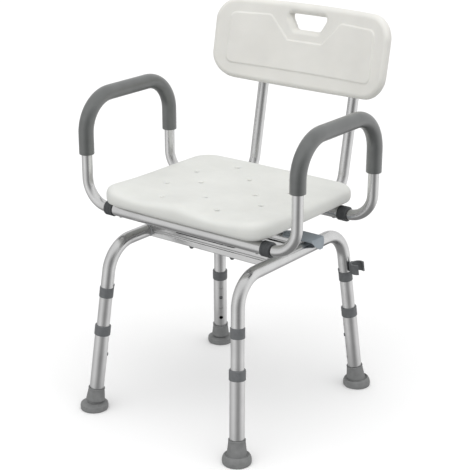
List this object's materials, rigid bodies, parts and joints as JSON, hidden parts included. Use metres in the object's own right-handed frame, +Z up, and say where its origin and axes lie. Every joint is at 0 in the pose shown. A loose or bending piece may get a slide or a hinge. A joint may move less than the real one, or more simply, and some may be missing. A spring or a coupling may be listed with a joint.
{
  "type": "swivel bath seat",
  "caption": "Bath and shower seat with moulded seat and backrest, padded arms and telescoping legs, turning on a lockable ball-bearing swivel.",
  "frame": {"origin": "middle of the whole outline at floor level, on the left-right mirror plane; the swivel axis is 34 mm further forward", "axes": "+X to the right of someone facing the seat's front, +Y to the back, +Z up"},
  "size_m": [0.5306, 0.5382, 0.7644],
  "materials": {
    "aluminium_tube": "satin anodised",
    "black_steel": "black coated pressed steel",
    "lever_steel": "bluish grey zinc",
    "bright_steel": "bright zinc",
    "collar_plastic": "matt grey moulding",
    "shell_plastic": "off-white blow moulding, fine texture",
    "grip_foam": "closed-cell foam",
    "foot_rubber": "grey rubber"
  },
  "bodies": {
    "base": {"left_frame_tube": "aluminium_tube", "right_frame_tube": "aluminium_tube", "front_crossbar": "aluminium_tube", "rear_crossbar": "aluminium_tube", "lower_swivel_plate": "black_steel", "ball_race": "bright_steel", "hose_clip": "collar_plastic", "lever_pin": "bright_steel", "front_right_middle_tube": "aluminium_tube", "front_right_upper_collar": "collar_plastic", "front_left_middle_tube": "aluminium_tube", "front_left_upper_collar": "collar_plastic", "back_right_middle_tube": "aluminium_tube", "back_right_upper_collar": "collar_plastic", "back_left_middle_tube": "aluminium_tube", "back_left_upper_collar": "collar_plastic"},
    "seat": {"upper_swivel_plate": "black_steel", "left_rail": "aluminium_tube", "right_rail": "aluminium_tube", "front_seat_tube": "aluminium_tube", "rear_seat_tube": "aluminium_tube", "seat_shell": "shell_plastic", "left_front_arm_collar": "collar_plastic", "left_rear_arm_collar": "collar_plastic", "right_front_arm_collar": "collar_plastic", "right_rear_arm_collar": "collar_plastic"},
    "lever": {"lock_lever": "lever_steel"},
    "leg_front_right": {"front_right_lower_tube": "aluminium_tube", "front_right_lower_collar": "collar_plastic", "front_right_foot": "foot_rubber"},
    "front_right_upper_button_body": {"front_right_upper_button": "bright_steel"},
    "front_right_lower_button_body": {"front_right_lower_button": "bright_steel"},
    "leg_front_left": {"front_left_lower_tube": "aluminium_tube", "front_left_lower_collar": "collar_plastic", "front_left_foot": "foot_rubber"},
    "front_left_upper_button_body": {"front_left_upper_button": "bright_steel"},
    "front_left_lower_button_body": {"front_left_lower_button": "bright_steel"},
    "leg_back_right": {"back_right_lower_tube": "aluminium_tube", "back_right_lower_collar": "collar_plastic", "back_right_foot": "foot_rubber"},
    "back_right_upper_button_body": {"back_right_upper_button": "bright_steel"},
    "back_right_lower_button_body": {"back_right_lower_button": "bright_steel"},
    "leg_back_left": {"back_left_lower_tube": "aluminium_tube", "back_left_lower_collar": "collar_plastic", "back_left_foot": "foot_rubber"},
    "back_left_upper_button_body": {"back_left_upper_button": "bright_steel"},
    "back_left_lower_button_body": {"back_left_lower_button": "bright_steel"},
    "left_arm": {"left_arm_tube": "aluminium_tube", "left_grip": "grip_foam"},
    "left_front_arm_button_body": {"left_front_arm_button": "bright_steel"},
    "left_rear_arm_button_body": {"left_rear_arm_button": "bright_steel"},
    "right_arm": {"right_arm_tube": "aluminium_tube", "right_grip": "grip_foam"},
    "right_front_arm_button_body": {"right_front_arm_button": "bright_steel"},
    "right_rear_arm_button_body": {"right_rear_arm_button": "bright_steel"},
    "back": {"back_panel": "shell_plastic", "left_back_post": "aluminium_tube", "right_back_post": "aluminium_tube"},
    "left_back_button_body": {"left_back_button": "bright_steel"},
    "right_back_button_body": {"right_back_button": "bright_steel"}
  },
  "joints": [
    {"name": "swivel", "type": "hinge", "parent": "base", "child": "seat", "pos_m": [0, -0.03448, 0.3646], "axis": [0, 0, 1], "continuous": true},
    {"name": "lock_lever_pivot", "type": "hinge", "parent": "base", "child": "lever", "pos_m": [0.128, 0.02152, 0.354], "axis": [0, 1, 0], "range_deg": [-2, 2.5]},
    {"name": "front_right_leg_slide", "type": "slide", "parent": "base", "child": "leg_front_right", "axis": [-0.0763, 0.1061, 0.9914], "range_m": [-0.0254, 0.0508], "deforming": ["front_right_lower_button"]},
    {"name": "front_right_upper_button_press", "type": "slide", "parent": "base", "child": "front_right_upper_button_body", "axis": [0.6993, -0.7031, 0.1291], "range_m": [0, 0.0038], "stiffness_N_per_m": 1500, "deforming": ["front_right_upper_button"]},
    {"name": "front_right_lower_button_press", "type": "slide", "parent": "base", "child": "front_right_lower_button_body", "axis": [0.6993, -0.7031, 0.1291], "range_m": [0, 0.0034], "stiffness_N_per_m": 1500, "deforming": ["front_right_lower_button"]},
    {"name": "front_left_leg_slide", "type": "slide", "parent": "base", "child": "leg_front_left", "axis": [0.0763, 0.1061, 0.9914], "range_m": [-0.0254, 0.0508], "deforming": ["front_left_lower_button"]},
    {"name": "front_left_upper_button_press", "type": "slide", "parent": "base", "child": "front_left_upper_button_body", "axis": [-0.6993, -0.7031, 0.1291], "range_m": [0, 0.0038], "stiffness_N_per_m": 1500, "deforming": ["front_left_upper_button"]},
    {"name": "front_left_lower_button_press", "type": "slide", "parent": "base", "child": "front_left_lower_button_body", "axis": [-0.6993, -0.7031, 0.1291], "range_m": [0, 0.0034], "stiffness_N_per_m": 1500, "deforming": ["front_left_lower_button"]},
    {"name": "back_right_leg_slide", "type": "slide", "parent": "base", "child": "leg_back_right", "axis": [-0.0763, -0.1061, 0.9914], "range_m": [-0.0254, 0.0508], "deforming": ["back_right_lower_button"]},
    {"name": "back_right_upper_button_press", "type": "slide", "parent": "base", "child": "back_right_upper_button_body", "axis": [0.6993, 0.7031, 0.1291], "range_m": [0, 0.0038], "stiffness_N_per_m": 1500, "deforming": ["back_right_upper_button"]},
    {"name": "back_right_lower_button_press", "type": "slide", "parent": "base", "child": "back_right_lower_button_body", "axis": [0.6993, 0.7031, 0.1291], "range_m": [0, 0.0034], "stiffness_N_per_m": 1500, "deforming": ["back_right_lower_button"]},
    {"name": "back_left_leg_slide", "type": "slide", "parent": "base", "child": "leg_back_left", "axis": [0.0763, -0.1061, 0.9914], "range_m": [-0.0254, 0.0508], "deforming": ["back_left_lower_button"]},
    {"name": "back_left_upper_button_press", "type": "slide", "parent": "base", "child": "back_left_upper_button_body", "axis": [-0.6993, 0.7031, 0.1291], "range_m": [0, 0.0038], "stiffness_N_per_m": 1500, "deforming": ["back_left_upper_button"]},
    {"name": "back_left_lower_button_press", "type": "slide", "parent": "base", "child": "back_left_lower_button_body", "axis": [-0.6993, 0.7031, 0.1291], "range_m": [0, 0.0034], "stiffness_N_per_m": 1500, "deforming": ["back_left_lower_button"]},
    {"name": "left_arm_pull", "type": "slide", "parent": "seat", "child": "left_arm", "axis": [-1, 0, 0], "range_m": [0, 0.09], "deforming": ["left_front_arm_button", "left_rear_arm_button"]},
    {"name": "left_front_arm_button_press", "type": "slide", "parent": "left_arm", "child": "left_front_arm_button_body", "axis": [0, 0, 1], "range_m": [0, 0.0038], "stiffness_N_per_m": 1500, "deforming": ["left_front_arm_button"]},
    {"name": "left_rear_arm_button_press", "type": "slide", "parent": "left_arm", "child": "left_rear_arm_button_body", "axis": [0, 0, 1], "range_m": [0, 0.0038], "stiffness_N_per_m": 1500, "deforming": ["left_rear_arm_button"]},
    {"name": "right_arm_pull", "type": "slide", "parent": "seat", "child": "right_arm", "axis": [1, 0, 0], "range_m": [0, 0.09], "deforming": ["right_front_arm_button", "right_rear_arm_button"]},
    {"name": "right_front_arm_button_press", "type": "slide", "parent": "right_arm", "child": "right_front_arm_button_body", "axis": [0, 0, 1], "range_m": [0, 0.0038], "stiffness_N_per_m": 1500, "deforming": ["right_front_arm_button"]},
    {"name": "right_rear_arm_button_press", "type": "slide", "parent": "right_arm", "child": "right_rear_arm_button_body", "axis": [0, 0, 1], "range_m": [0, 0.0038], "stiffness_N_per_m": 1500, "deforming": ["right_rear_arm_button"]},
    {"name": "back_pull", "type": "slide", "parent": "seat", "child": "back", "axis": [0, 1, 0], "range_m": [0, 0.06], "deforming": ["left_back_button", "right_back_button"]},
    {"name": "left_back_button_press", "type": "slide", "parent": "back", "child": "left_back_button_body", "axis": [0, 0, 1], "range_m": [0, 0.0038], "stiffness_N_per_m": 1500, "deforming": ["left_back_button"]},
    {"name": "right_back_button_press", "type": "slide", "parent": "back", "child": "right_back_button_body", "axis": [0, 0, 1], "range_m": [0, 0.0038], "stiffness_N_per_m": 1500, "deforming": ["right_back_button"]}
  ]
}
